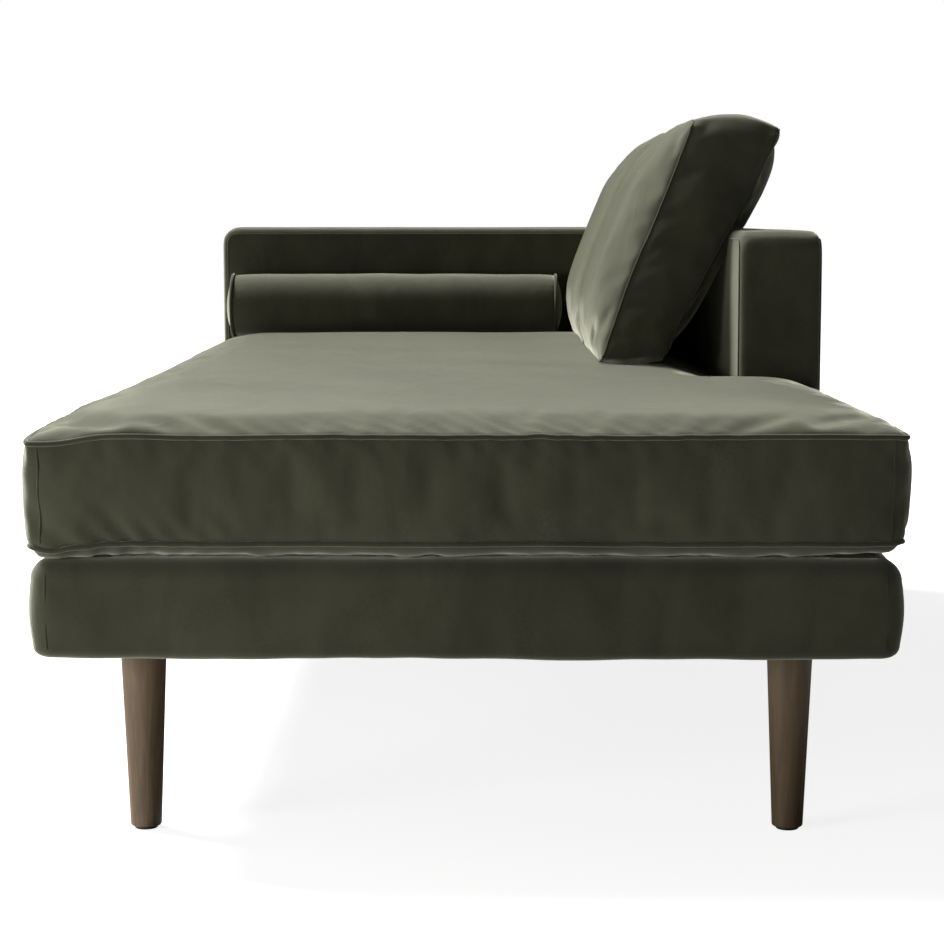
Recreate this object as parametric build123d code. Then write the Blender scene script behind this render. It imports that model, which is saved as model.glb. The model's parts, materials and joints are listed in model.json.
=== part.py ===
from build123d import *
import os

# A daybed, full size, in millimetres. The origin is on the floor under the middle of the
# daybed. +Z is up, -Y is the open foot end, +Y is the head end with the arm, and +X is the
# side with the low back panel.

# ---- Overall size and levels ----
width = 950.0
length = 2000.0
base_bottom = 210.8
base_top = 320.0
panel_top = 667.0

# ---- Cloth, welts and the slack between layers ----
cover_thickness = 2.0
slack = 0.3
welt_radius = 3.0
welt_offset = 1.15 * welt_radius
welt_corner_radius = 4.0

# ---- Base ----
base_half_width = 470.5
base_foot_y = -988.0
base_head_y = length / 2
base_corner_radius = 28.0
base_top_radius = 26.0
base_bottom_radius = 18.0
base_padding_thickness = 10.0
deck_border = 75.0
cover_turn_under = 45.0
dust_cover_thickness = 0.6
dust_cover_border = 30.0
timber_thickness = 28.0
timber_corner_radius = 12.0
rail_bottom = 215.0
rail_top = 298.0
cross_rail_height = 60.0
cross_rail_pitch = 500.0
cross_rail_count = 3

# ---- Springs ----
spring_count = 10
spring_pitch = 180.0
spring_wire_radius = 1.8
spring_level = 302.6
spring_half_height = 34.0
spring_step = 46.0
spring_bend_radius = 22.0
spring_half_bends = 20
clip_sheet = 1.2
clip_width = 12.0
clip_outer_radius = 3.6
clip_inner_radius = 2.2
deck_pad_bottom = 306.6
deck_cloth_thickness = 1.4

# ---- Legs ----
leg_x = 361.5
leg_y = 882.0
leg_top_radius = 26.0
leg_bottom_radius = 17.4
glide_height = 3.2
glide_radius = 13.0
glide_pin_radius = 1.2
glide_pin_top = 20.0
plate_side = 64.0
plate_thickness = 2.5
plate_boss_radius = 7.0
plate_boss_height = 10.0
block_height = 45.0
block_length = 128.0
leg_bolt_radius = 4.0
leg_bolt_bottom = 168.0
leg_bolt_top = 238.0
screw_radius = 2.0
screw_length = 20.0
screw_head_radius = 4.0
screw_head_height = 1.8
screw_spacing = 48.0
hole_play = 0.15

# ---- Arm and back panel ----
panel_thickness = 110.0
panel_end_radius = 28.0
panel_edge_radius = 8.0
panel_padding = 12.0
board_thickness = 5.0
panel_rail_height = 45.0
post_width = 45.0
arm_left_x = -470.5
arm_right_x = 472.0
arm_inner_y = 890.0
arm_post_count = 4
back_inner_x = 362.0
back_foot_y = -332.0
back_head_y = 889.0
back_post_count = 5

# ---- Bolts that hold the arm and the back panel down ----
bolt_radius = 4.0
bolt_head_radius = 7.5
bolt_head_height = 5.5
bolt_head_level = 232.0
washer_radius = 10.0
washer_thickness = 1.6
nut_height = 6.5
bolt_tip = 3.0
arm_bolt_xs = (-300.0, 0.0, 300.0)
back_bolt_ys = (-180.0, 360.0, 720.0)

# ---- Mattress ----
mattress_head_y = 888.0
notch_x = 360.0
notch_y = -334.0
mattress_bottom = 320.6
bottom_seam = 335.0
top_seam = 455.0
mattress_top = 476.0
crown_inset = 80.0
head_crown_inset = 140.0
bottom_inset = 60.0
topper_level = 430.0
mattress_zip_length = 600.0

# ---- Back cushions, given by the corners of their section as X and Z ----
cushion_front_bottom = (182.0, 484.3)
cushion_front_top = (302.0, 820.0)
cushion_back_top = (425.0, 806.0)
cushion_back_bottom = (273.0, 484.3)
cushion_foot_y = -198.0
cushion_pitch = 526.0
cushion_gap = 0.6
cushion_crown = 45.0
cushion_crown_inset = 80.0
cushion_zip_length = 360.0

# ---- Bolster ----
bolster_left_x = -449.0
bolster_right_x = 156.0
bolster_radius = 59.0
bolster_y = 825.0
bolster_z = 525.2
bolster_zip_length = 420.0

# ---- Zips ----
zip_width = 14.0
zip_tape = 1.4
slider_width = 9.0
slider_length = 12.0
slider_height = 2.2


def between(x_span, y_span, z_span):
    """A plain box that fills three spans."""
    size = [span[1] - span[0] for span in (x_span, y_span, z_span)]
    middle = [(span[0] + span[1]) / 2 for span in (x_span, y_span, z_span)]
    return Pos(*middle) * Box(*size)


def rod(x, y, z_span, radius):
    """An upright round bar, or the hole for one."""
    return Pos(x, y, (z_span[0] + z_span[1]) / 2) * Cylinder(radius, z_span[1] - z_span[0])


def shrink(span, amount):
    """A span made shorter by the same amount at both ends."""
    return (span[0] + amount, span[1] - amount)


def group(solids):
    """Several separate solids kept in one node."""
    return Compound(children=[solid for part in solids for solid in part.solids()])


# ---- Base ----

base_x = (-base_half_width, base_half_width)
base_y = (base_foot_y, base_head_y)
base_z = (base_bottom, base_top)
frame_inset = cover_thickness + base_padding_thickness + 2 * slack
frame_x = shrink(base_x, frame_inset)
frame_y = shrink(base_y, frame_inset)
inner_x = shrink(frame_x, timber_thickness)
inner_y = shrink(frame_y, timber_thickness)
rail_z = (rail_bottom, rail_top)


def upholstered_base(inset):
    """The rounded outside of the base, shrunk by an inset."""
    block = between(shrink(base_x, inset), shrink(base_y, inset), shrink(base_z, inset))
    block = fillet(block.edges().filter_by(Axis.Z), base_corner_radius - inset)
    block = fillet(block.edges().group_by(Axis.Z)[-1], base_top_radius - inset)
    return fillet(block.edges().group_by(Axis.Z)[0], base_bottom_radius - inset)


def bolt_places():
    """The middles of the bolts under the arm and the back panel."""
    arm_y = (frame_y[1] + inner_y[1]) / 2
    back_x = (frame_x[1] + inner_x[1]) / 2
    return [(x, arm_y) for x in arm_bolt_xs] + [(back_x, y) for y in back_bolt_ys]


def shaft_holes():
    """Clearance for the shafts of the panel bolts."""
    radius = bolt_radius + hole_play
    return [rod(x, y, (rail_bottom, panel_top), radius) for x, y in bolt_places()]


def bolt_holes():
    """Clearance for the panel bolts, with a pocket under each rail for the head."""
    pocket_z = (0, bolt_head_level + bolt_head_height + washer_thickness)
    pockets = [rod(x, y, pocket_z, washer_radius + 1) for x, y in bolt_places()]
    return shaft_holes() + pockets


def base_cover():
    """Velvet round the base, open above for the deck and below for the dust cover."""
    shell = upholstered_base(0) - upholstered_base(cover_thickness)
    middle = (base_bottom + base_top) / 2
    deck = between(shrink(base_x, deck_border), shrink(base_y, deck_border), (middle, base_top))
    below = between(
        shrink(base_x, cover_turn_under), shrink(base_y, cover_turn_under), (0, middle)
    )
    return shell - deck - below - shaft_holes()


def base_padding():
    """Foam over the outside and the top of the rails."""
    outside = upholstered_base(cover_thickness + slack)
    rails = between(
        shrink(frame_x, -slack), shrink(frame_y, -slack), (0, deck_pad_bottom)
    )
    deck = between(shrink(base_x, deck_border), shrink(base_y, deck_border), (0, base_top))
    return outside - rails - deck - shaft_holes()


def deck_pad():
    """The thin pad over the springs."""
    top = base_top - cover_thickness - slack
    return between(
        shrink(base_x, deck_border + slack),
        shrink(base_y, deck_border + slack),
        (deck_pad_bottom, top),
    )


def deck_cloth():
    """The plain cloth under the mattress, inside the border of the base cover."""
    bottom = base_top - cover_thickness
    return between(
        shrink(base_x, deck_border + slack),
        shrink(base_y, deck_border + slack),
        (bottom, bottom + deck_cloth_thickness),
    )


def dust_cover():
    """The thin black cloth under the base, with a hole round each leg."""
    top = base_bottom - 0.2
    sheet = between(
        shrink(base_x, dust_cover_border),
        shrink(base_y, dust_cover_border),
        (top - dust_cover_thickness, top),
    )
    return sheet - [rod(x, y, (0, base_top), leg_top_radius + 1) for x, y in leg_places()]


def end_rail(y_span):
    """A rail across one end of the base, with its two outer corners eased."""
    rail = between(frame_x, y_span, rail_z)
    upright = rail.edges().filter_by(Axis.Z).sort_by(lambda edge: abs(edge.center().Y))
    return fillet(upright[-2:], timber_corner_radius) - bolt_holes()


def side_rail(x_span):
    """A rail along one side, between the end rails."""
    return between(x_span, inner_y, rail_z) - bolt_holes()


def cross_rails():
    """Rails across the base, below the springs."""
    rails = []
    for i in range(cross_rail_count):
        y = (i - (cross_rail_count - 1) / 2) * cross_rail_pitch
        y_span = (y - timber_thickness / 2, y + timber_thickness / 2)
        rails.append(between(inner_x, y_span, (rail_bottom, rail_bottom + cross_rail_height)))
    return group(rails)


# ---- Springs ----


def spring_ys():
    """Where the springs lie along the base."""
    return [(i - (spring_count - 1) / 2) * spring_pitch for i in range(spring_count)]


def zigzag_spring():
    """One flat zigzag spring across the base, bent from wire drawn with six flats."""
    start = -spring_step * (spring_half_bends - 1) / 2
    points = []
    for i in range(spring_half_bends):
        side = 1 if i % 2 else -1
        x = start + i * spring_step
        points.append((x, side * spring_half_height, spring_level))
        points.append((x, -side * spring_half_height, spring_level))
    path = FilletPolyline(*points, radius=spring_bend_radius)
    section = Plane(origin=path @ 0, z_dir=path % 0) * RegularPolygon(spring_wire_radius, 6)
    return sweep(section, path=path)


def spring_clip(side):
    """The sheet-metal clip that holds one end bar of a spring on a side rail."""
    x = side * spring_step * (spring_half_bends - 1) / 2
    rail_middle = side * (frame_x[1] + inner_x[1]) / 2
    plate_x = (rail_middle - timber_thickness / 2, rail_middle + timber_thickness / 2)
    plate = between(plate_x, (-clip_width / 2, clip_width / 2), (rail_top, rail_top + clip_sheet))
    level = rail_top + clip_outer_radius + clip_sheet - 0.2
    lie_along_y = Pos(x, 0, level) * Rot(90, 0, 0)
    eye = lie_along_y * Cylinder(clip_outer_radius, clip_width)
    return plate + eye - lie_along_y * Cylinder(clip_inner_radius, clip_width)


# ---- Legs ----


def leg_places():
    """The middles of the legs."""
    return [(side * leg_x, end * leg_y) for end in (-1, 1) for side in (-1, 1)]


plate_z = (rail_bottom + 0.5, rail_bottom + 0.5 + plate_thickness)
leg_z = (glide_height, plate_z[0])
block_z = (plate_z[1], plate_z[1] + block_height)


def leg():
    """A round tapered leg, bored above for its bolt and below for its glide."""
    height = leg_z[1] - leg_z[0]
    taper = Cone(leg_bottom_radius, leg_top_radius, height)
    body = Pos(0, 0, (leg_z[0] + leg_z[1]) / 2) * taper
    bolt_hole = rod(0, 0, (leg_bolt_bottom - 1, leg_z[1]), leg_bolt_radius + hole_play)
    pin_hole = rod(0, 0, (leg_z[0], glide_pin_top + 1), glide_pin_radius + hole_play)
    return body - bolt_hole - pin_hole


def glide():
    """The disc under a leg, with its pin."""
    disc = rod(0, 0, (0, glide_height), glide_radius)
    disc = chamfer(disc.edges().group_by(Axis.Z)[0], glide_height / 4)
    return disc + rod(0, 0, (glide_height / 2, glide_pin_top), glide_pin_radius)


def screw_places():
    """The screws at the corners of a leg plate."""
    half = screw_spacing / 2
    return [(x, y) for x in (-half, half) for y in (-half, half)]


def leg_plate():
    """The metal plate that a leg screws into, with its threaded boss."""
    half = plate_side / 2
    plate = between((-half, half), (-half, half), plate_z)
    plate = fillet(plate.edges().filter_by(Axis.Z), 6)
    plate += rod(0, 0, (plate_z[0], plate_z[1] + plate_boss_height), plate_boss_radius)
    plate -= rod(0, 0, (0, base_top), leg_bolt_radius + hole_play)
    return plate - [rod(x, y, (0, base_top), screw_radius + hole_play) for x, y in screw_places()]


def plate_screw():
    """A flat-headed wood screw through a leg plate."""
    shank = rod(0, 0, (plate_z[0], plate_z[0] + screw_length), screw_radius)
    return shank + rod(0, 0, (plate_z[0] - screw_head_height, plate_z[0]), screw_head_radius)


def leg_block(side, end):
    """The timber block in a corner of the base that a leg plate is screwed to."""
    x_span = sorted((side * inner_x[1], side * (inner_x[1] - block_length)))
    corner_y = inner_y[1] if end > 0 else inner_y[0]
    y_span = sorted((corner_y, corner_y - end * block_length))
    block = between(x_span, y_span, block_z)
    x, y = side * leg_x, end * leg_y
    boss_top = plate_z[1] + plate_boss_height + 1
    block -= rod(x, y, (0, boss_top), plate_boss_radius + 0.5)
    block -= rod(x, y, (0, leg_bolt_top + 1), leg_bolt_radius + hole_play)
    screw_top = plate_z[0] + screw_length + 0.5
    for dx, dy in screw_places():
        block -= rod(x + dx, y + dy, (0, screw_top), screw_radius + hole_play)
    return block


# ---- Arm and back panel, made lying along X with the inner face towards -Y ----


def upholstered_panel(panel_length, inset):
    """The rounded outside of a panel, shrunk by an inset but open at its foot."""
    half = panel_length / 2 - inset
    foot = base_top + slack
    top = panel_top - inset
    outline = Plane.XZ * Pos(0, (foot + top) / 2) * Rectangle(2 * half, top - foot)
    block = extrude(outline, amount=panel_thickness / 2 - inset, both=True)
    high = block.edges().filter_by(Axis.Y).group_by(Axis.Z)[-1]
    block = fillet(high, panel_end_radius - inset)
    face_edges = block.faces().filter_by(Axis.Y).edges()
    rounded = [edge for edge in face_edges if edge.center().Z > foot + 1]
    return fillet(rounded, max(panel_edge_radius - inset, 1))


def panel_parts(name, panel_length, post_count, place):
    """The frame, boards, foam and cover of one panel, as a dictionary of nodes."""
    inset = cover_thickness + panel_padding + 2 * slack
    foot = base_top + slack
    half = panel_length / 2 - inset
    depth = panel_thickness / 2 - inset
    top = panel_top - inset
    frame = (-half, half)
    gap = (-depth + board_thickness, depth - board_thickness)
    outside = upholstered_panel(panel_length, 0)
    lining = upholstered_panel(panel_length, cover_thickness)
    foam = upholstered_panel(panel_length, cover_thickness + slack)
    core = between(shrink(frame, -slack), (-depth - slack, depth + slack), (foot, top + slack))
    posts = []
    for i in range(post_count):
        x = -half + post_width / 2 + i * (2 * half - post_width) / (post_count - 1)
        x_span = (x - post_width / 2, x + post_width / 2)
        posts.append(
            between(x_span, gap, (foot + panel_rail_height, top - panel_rail_height))
        )
    parts = {
        "bottom_rail": between(frame, gap, (foot, foot + panel_rail_height)),
        "top_rail": between(frame, gap, (top - panel_rail_height, top)),
        "posts": group(posts),
        "inner_board": between(frame, (-depth, gap[0]), (foot, top)),
        "outer_board": between(frame, (gap[1], depth), (foot, top)),
        "foam": foam - core,
        "cover": outside - lining,
    }
    return {name + "_" + part: place * shape for part, shape in parts.items()}


# ---- Panel bolts ----

panel_nut_level = base_top + slack + panel_rail_height


def panel_bolt():
    """A hexagon bolt up through a rail into the foot of a panel."""
    head_top = bolt_head_level + bolt_head_height
    head = Pos(0, 0, bolt_head_level) * extrude(
        RegularPolygon(bolt_head_radius, 6), amount=bolt_head_height
    )
    tip = panel_nut_level + nut_height + bolt_tip
    return head + rod(0, 0, (head_top - 1, tip), bolt_radius)


def panel_washer():
    """The washer between a bolt head and its rail."""
    return ring_plate(washer_radius, bolt_head_level + bolt_head_height, washer_thickness)


def ring_plate(radius, level, thickness):
    """A flat ring that a bolt passes through."""
    disc = rod(0, 0, (level, level + thickness), radius)
    return disc - rod(0, 0, (0, panel_top), bolt_radius + hole_play)


def panel_nut():
    """The nut above the bottom rail of a panel."""
    nut = Pos(0, 0, panel_nut_level) * extrude(
        RegularPolygon(bolt_head_radius, 6), amount=nut_height
    )
    return nut - rod(0, 0, (0, panel_top), bolt_radius + hole_play)


# ---- Mattress ----


def flat_sided(layers):
    """A solid with flat faces through a stack of outlines that have matching corners."""
    faces = [Face(Wire.make_polygon(outline)) for outline in (layers[0], layers[-1])]
    for low, high in zip(layers, layers[1:]):
        for i in range(len(low)):
            j = (i + 1) % len(low)
            faces.append(Face(Wire.make_polygon([low[i], low[j], high[j], high[i]])))
    return Solid(Shell(faces))


def mattress_outline(side_inset, head_inset, level):
    """The L-shaped outline of the mattress at one level, inset from its full size."""
    left = -width / 2 + side_inset
    right = width / 2 - side_inset
    foot = -length / 2 + side_inset
    step_x = notch_x - side_inset
    step_y = notch_y - side_inset
    head = mattress_head_y - head_inset
    return [
        (left, foot, level),
        (right, foot, level),
        (right, step_y, level),
        (step_x, step_y, level),
        (step_x, head, level),
        (left, head, level),
    ]


def mattress_block(inset):
    """The mattress between its seams, with a crowned top and a shallow underside."""
    seam_inset = welt_offset + welt_radius + inset
    return flat_sided(
        [
            mattress_outline(bottom_inset, bottom_inset, mattress_bottom + inset),
            mattress_outline(seam_inset, seam_inset, bottom_seam),
            mattress_outline(seam_inset, seam_inset, top_seam),
            mattress_outline(crown_inset, head_crown_inset, mattress_top - inset),
        ]
    )


def mattress_welt(level):
    """The piped seam round the mattress at one level."""
    return round_welt(mattress_outline(welt_radius, welt_radius, level))


def round_welt(corners):
    """A round cord through the corners of a flat outline, and back to its start."""
    path = FilletPolyline(*corners, radius=welt_corner_radius, close=True)
    section = Plane(origin=path @ 0, z_dir=path % 0) * Circle(welt_radius)
    return sweep(section, path=path)


def zip_strip(zip_length):
    """A zip lying along X in the XY plane, with its slider standing up from the tape."""
    half = zip_length / 2 - slack
    tape = between((-half, half), shrink((-zip_width / 2, zip_width / 2), slack), (0, zip_tape))
    slider_x = (half - 3 * slider_length, half - 2 * slider_length)
    slider = between(
        slider_x, (-slider_width / 2, slider_width / 2), (zip_tape, zip_tape + slider_height)
    )
    return tape + slider


def zip_slot(zip_length):
    """The opening in a cover that a zip closes."""
    half = zip_width / 2
    reach = cover_thickness + 1
    return between((-zip_length / 2, zip_length / 2), (-half, half), (-reach, reach))


# ---- Back cushions ----


cushion_half_width = cushion_pitch / 2 - welt_offset - welt_radius - cushion_gap / 2


def cushion_section(inset):
    """The four corners of the section in XZ, each side moved inwards by an inset."""
    corners = [
        Vector(x, 0, z)
        for x, z in (
            cushion_front_bottom,
            cushion_front_top,
            cushion_back_top,
            cushion_back_bottom,
        )
    ]
    moved = []
    for i, corner in enumerate(corners):
        to_last = (corners[i - 1] - corner).normalized()
        to_next = (corners[(i + 1) % 4] - corner).normalized()
        spread = to_last.cross(to_next).length
        moved.append(corner + (to_last + to_next) * (inset / spread))
    return moved


def cushion_face(near, far, half_width, inset, lift):
    """The corners of a face across a cushion, inset, and lifted towards the front."""
    along = (far - near).normalized()
    outwards = Vector(-along.Z, 0, along.X) * lift
    low = near + along * inset + outwards
    high = far - along * inset + outwards
    half = half_width - inset
    return [
        (low.X, -half, low.Z),
        (low.X, half, low.Z),
        (high.X, half, high.Z),
        (high.X, -half, high.Z),
    ]


def cushion_block(inset):
    """One back cushion about Y = 0: a leaning box whose front face is crowned."""
    front_bottom, front_top, back_top, back_bottom = cushion_section(inset)
    half = cushion_half_width - inset
    return flat_sided(
        [
            cushion_face(front_bottom, front_top, half, cushion_crown_inset, cushion_crown),
            cushion_face(front_bottom, front_top, half, 0, 0),
            cushion_face(back_bottom, back_top, half, 0, 0),
        ]
    )


def cushion_welt(near, far):
    """The piped seam round one face of a cushion."""
    return round_welt(cushion_face(near, far, cushion_half_width, -welt_offset, 0))


def cushion_parts(name, y):
    """The core, cover, welts and zip of one back cushion, as a dictionary of nodes."""
    front_bottom, front_top, back_top, back_bottom = cushion_section(0)
    cover = cushion_block(0) - cushion_block(cover_thickness)
    middle_x = (cushion_front_bottom[0] + cushion_back_bottom[0]) / 2
    level = cushion_front_bottom[1]
    under = Pos(middle_x, 0, level + zip_tape + slack) * Rot(180, 0, 90)
    parts = {
        "core": cushion_block(cover_thickness + slack),
        "cover": cover - under * zip_slot(cushion_zip_length),
        "front_welt": cushion_welt(front_bottom, front_top),
        "back_welt": cushion_welt(back_bottom, back_top),
        "zip": under * zip_strip(cushion_zip_length),
    }
    return {name + "_" + part: Pos(0, y, 0) * shape for part, shape in parts.items()}


# ---- Bolster ----


def bolster_parts():
    """The core, cover, end welts and zip of the round bolster."""
    welt_x = (bolster_left_x + welt_radius, bolster_right_x - welt_radius)
    cover_x = shrink(welt_x, welt_offset)
    middle = Pos((cover_x[0] + cover_x[1]) / 2, bolster_y, bolster_z)
    lie = middle * Rot(0, 90, 0)
    cover_length = cover_x[1] - cover_x[0]
    lining = Cylinder(bolster_radius - cover_thickness, cover_length - 2 * cover_thickness)
    core_inset = cover_thickness + slack
    core = Cylinder(bolster_radius - core_inset, cover_length - 2 * core_inset)
    behind = Pos(middle.position.X, bolster_y + bolster_radius - zip_tape - slack, bolster_z)
    behind *= Rot(-90, 0, 0)
    welts = [
        Pos(x, bolster_y, bolster_z) * Rot(0, 90, 0) * Torus(bolster_radius - welt_radius, welt_radius)
        for x in welt_x
    ]
    cover = lie * (Cylinder(bolster_radius, cover_length) - lining)
    return {
        "bolster_core": lie * core,
        "bolster_cover": cover - behind * zip_slot(bolster_zip_length),
        "bolster_welts": group(welts),
        "bolster_zip": behind * zip_strip(bolster_zip_length),
    }


# ---- Putting the daybed together ----


def at_each(places, shape):
    """Copies of one solid at several places, kept in one node."""
    return group([Pos(x, y, 0) * shape for x, y in places])


def base_nodes():
    """The timber, springs, padding and covers of the base."""
    spring = zigzag_spring()
    clips = [spring_clip(-1), spring_clip(1)]
    return {
        "foot_rail": end_rail((frame_y[0], inner_y[0])),
        "head_rail": end_rail((inner_y[1], frame_y[1])),
        "left_rail": side_rail((frame_x[0], inner_x[0])),
        "right_rail": side_rail((inner_x[1], frame_x[1])),
        "cross_rails": cross_rails(),
        "leg_blocks": group([leg_block(s, e) for s in (-1, 1) for e in (-1, 1)]),
        "zigzag_springs": at_each([(0, y) for y in spring_ys()], spring),
        "spring_clips": group([Pos(0, y, 0) * clip for y in spring_ys() for clip in clips]),
        "deck_pad": deck_pad(),
        "deck_cloth": deck_cloth(),
        "base_padding": base_padding(),
        "base_cover": base_cover(),
        "dust_cover": dust_cover(),
    }


def leg_nodes():
    """The four legs and what fixes them."""
    ends = ("foot_left", "foot_right", "head_left", "head_right")
    nodes = {end + "_leg": Pos(*place, 0) * leg() for end, place in zip(ends, leg_places())}
    screws = [(x + dx, y + dy) for x, y in leg_places() for dx, dy in screw_places()]
    bolt = rod(0, 0, (leg_bolt_bottom, leg_bolt_top), leg_bolt_radius)
    nodes["glides"] = at_each(leg_places(), glide())
    nodes["leg_plates"] = at_each(leg_places(), leg_plate())
    nodes["leg_bolts"] = at_each(leg_places(), bolt)
    nodes["plate_screws"] = at_each(screws, plate_screw())
    return nodes


def panel_nodes():
    """The arm across the head end, the back panel along the right, and their bolts."""
    arm_place = Pos((arm_left_x + arm_right_x) / 2, arm_inner_y + panel_thickness / 2, 0)
    back_place = Pos(
        back_inner_x + panel_thickness / 2, (back_foot_y + back_head_y) / 2, 0
    ) * Rot(0, 0, -90)
    nodes = panel_parts("arm", arm_right_x - arm_left_x, arm_post_count, arm_place)
    nodes.update(panel_parts("back", back_head_y - back_foot_y, back_post_count, back_place))
    for name in ("arm_bottom_rail", "back_bottom_rail"):
        nodes[name] = nodes[name] - shaft_holes()
    nodes["panel_bolts"] = at_each(bolt_places(), panel_bolt())
    nodes["panel_washers"] = at_each(bolt_places(), panel_washer())
    nodes["panel_nuts"] = at_each(bolt_places(), panel_nut())
    return nodes


def mattress_nodes():
    """The foam, topper, cover, welts and zip of the mattress."""
    filling = mattress_block(cover_thickness + slack)
    everywhere = (-length, length)
    low = between(everywhere, everywhere, (0, topper_level))
    high = between(everywhere, everywhere, (topper_level + slack, panel_top))
    zip_x = (notch_x - width / 2) / 2
    zip_y = mattress_head_y - welt_offset - welt_radius - zip_tape - slack
    zip_level = (bottom_seam + top_seam) / 2
    zip_place = Pos(zip_x, zip_y, zip_level) * Rot(-90, 0, 0)
    cover = mattress_block(0) - mattress_block(cover_thickness)
    return {
        "mattress_core": filling & low,
        "mattress_topper": filling & high,
        "mattress_cover": cover - zip_place * zip_slot(mattress_zip_length),
        "mattress_top_welt": mattress_welt(top_seam),
        "mattress_bottom_welt": mattress_welt(bottom_seam),
        "mattress_zip": zip_place * zip_strip(mattress_zip_length),
    }


def daybed():
    """Every node of the daybed by name."""
    first_cushion = cushion_foot_y + cushion_pitch / 2
    nodes = base_nodes()
    nodes.update(leg_nodes())
    nodes.update(panel_nodes())
    nodes.update(mattress_nodes())
    nodes.update(cushion_parts("foot_cushion", first_cushion))
    nodes.update(cushion_parts("head_cushion", first_cushion + cushion_pitch))
    nodes.update(bolster_parts())
    return nodes


os.makedirs("parts", exist_ok=True)
for node_name, node_shape in daybed().items():
    export_step(node_shape, "parts/" + node_name + ".step")
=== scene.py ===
"""The looks of an upholstered daybed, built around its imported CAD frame. Units are metres."""

import json
import math

import bmesh
import bpy
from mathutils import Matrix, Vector, noise
from mathutils.kdtree import KDTree


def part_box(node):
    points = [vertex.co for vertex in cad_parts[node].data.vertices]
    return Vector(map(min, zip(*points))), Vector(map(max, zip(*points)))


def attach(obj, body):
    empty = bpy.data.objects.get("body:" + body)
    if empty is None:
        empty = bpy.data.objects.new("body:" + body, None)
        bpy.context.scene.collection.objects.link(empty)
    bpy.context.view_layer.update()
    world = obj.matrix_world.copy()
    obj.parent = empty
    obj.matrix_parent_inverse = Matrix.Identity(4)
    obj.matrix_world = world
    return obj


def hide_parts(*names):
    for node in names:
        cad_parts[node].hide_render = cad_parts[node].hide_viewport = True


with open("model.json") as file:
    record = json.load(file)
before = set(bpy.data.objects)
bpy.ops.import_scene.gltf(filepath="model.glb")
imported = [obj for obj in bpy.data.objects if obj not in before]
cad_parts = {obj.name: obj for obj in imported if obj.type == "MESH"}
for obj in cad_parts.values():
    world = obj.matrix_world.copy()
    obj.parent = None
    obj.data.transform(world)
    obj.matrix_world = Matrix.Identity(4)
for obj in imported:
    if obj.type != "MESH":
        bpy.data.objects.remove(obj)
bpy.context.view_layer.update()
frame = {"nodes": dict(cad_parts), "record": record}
scene = bpy.context.scene

# ---- Camera ----
camera_place = Vector((0.0206, -3.4057, 0.6807))
camera_pitch = math.radians(6.27)
camera_yaw = math.radians(0.327)
camera_lens = 87.25

# ---- Upholstery ----
welt_radius = 0.0030
seam_radius = 0.0011
panel_gap = 0.002
panel_corner_radius = 0.028
panel_foot_radius = 0.006
base_corner_radius = 0.028
base_top_radius = 0.026
base_bottom_radius = 0.014
mattress_voxel = 0.011
panel_voxel = 0.0074
cushion_voxel = 0.0075


# ---- Materials ----


class Nodes:
    """A small helper that adds shader nodes to one material and links them."""

    def __init__(self, name):
        self.material = bpy.data.materials.new(name)
        self.material.use_nodes = True
        self.tree = self.material.node_tree
        self.shader = self.tree.nodes["Principled BSDF"]
        self.place = self.add("ShaderNodeTexCoord").outputs["Object"]

    def add(self, kind, **settings):
        node = self.tree.nodes.new(kind)
        for key, value in settings.items():
            setattr(node, key, value)
        return node

    def link(self, output, target):
        self.tree.links.new(output, target)
        return target

    def stretched(self, scale):
        """The object's coordinates, stretched by a scale along each axis."""
        mapping = self.add("ShaderNodeMapping")
        mapping.inputs["Scale"].default_value = scale
        self.link(self.place, mapping.inputs["Vector"])
        return mapping.outputs["Vector"]

    def noise(self, scale, detail=2.0, vector=None, distortion=0.0):
        node = self.add("ShaderNodeTexNoise")
        node.inputs["Scale"].default_value = scale
        node.inputs["Detail"].default_value = detail
        node.inputs["Distortion"].default_value = distortion
        self.link(vector or self.place, node.inputs["Vector"])
        return node.outputs["Fac"]

    def ramp(self, value, stops):
        """A colour ramp through (position, colour) stops."""
        node = self.add("ShaderNodeValToRGB")
        elements = node.color_ramp.elements
        while len(elements) < len(stops):
            elements.new(0.5)
        for element, (position, colour) in zip(elements, stops):
            element.position = position
            element.color = (*colour, 1.0)
        self.link(value, node.inputs["Fac"])
        return node.outputs["Color"]

    def grey(self, value, low, high, start=0.3, end=0.7):
        """A value mapped from one range to another, for roughness and bump."""
        node = self.add("ShaderNodeMapRange")
        node.inputs["From Min"].default_value = start
        node.inputs["From Max"].default_value = end
        node.inputs["To Min"].default_value = low
        node.inputs["To Max"].default_value = high
        self.link(value, node.inputs["Value"])
        return node.outputs["Result"]

    def mixed(self, factor, first, second):
        """One colour output mixed into another."""
        node = self.add("ShaderNodeMix", data_type="RGBA")
        self.link(factor, node.inputs["Factor"])
        self.link(first, node.inputs["A"])
        self.link(second, node.inputs["B"])
        return node.outputs["Result"]

    def bump(self, height, strength, distance, below=None):
        """Bump from a height, on top of another bump when one is given."""
        node = self.add("ShaderNodeBump")
        node.inputs["Strength"].default_value = strength
        node.inputs["Distance"].default_value = distance
        self.link(height, node.inputs["Height"])
        if below:
            self.link(below, node.inputs["Normal"])
        return node.outputs["Normal"]

    def finish(self, colour, roughness, normal=None, **fixed):
        """Links the colour, roughness and normal, and sets the values that are the same all over."""
        self.link(colour, self.shader.inputs["Base Color"])
        self.link(roughness, self.shader.inputs["Roughness"])
        if normal:
            self.link(normal, self.shader.inputs["Normal"])
        for key, value in fixed.items():
            self.shader.inputs[key.replace("_", " ")].default_value = value
        return self.material


def scaled(colour, amount):
    """A colour made lighter or darker."""
    return tuple(channel * amount for channel in colour)


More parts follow.
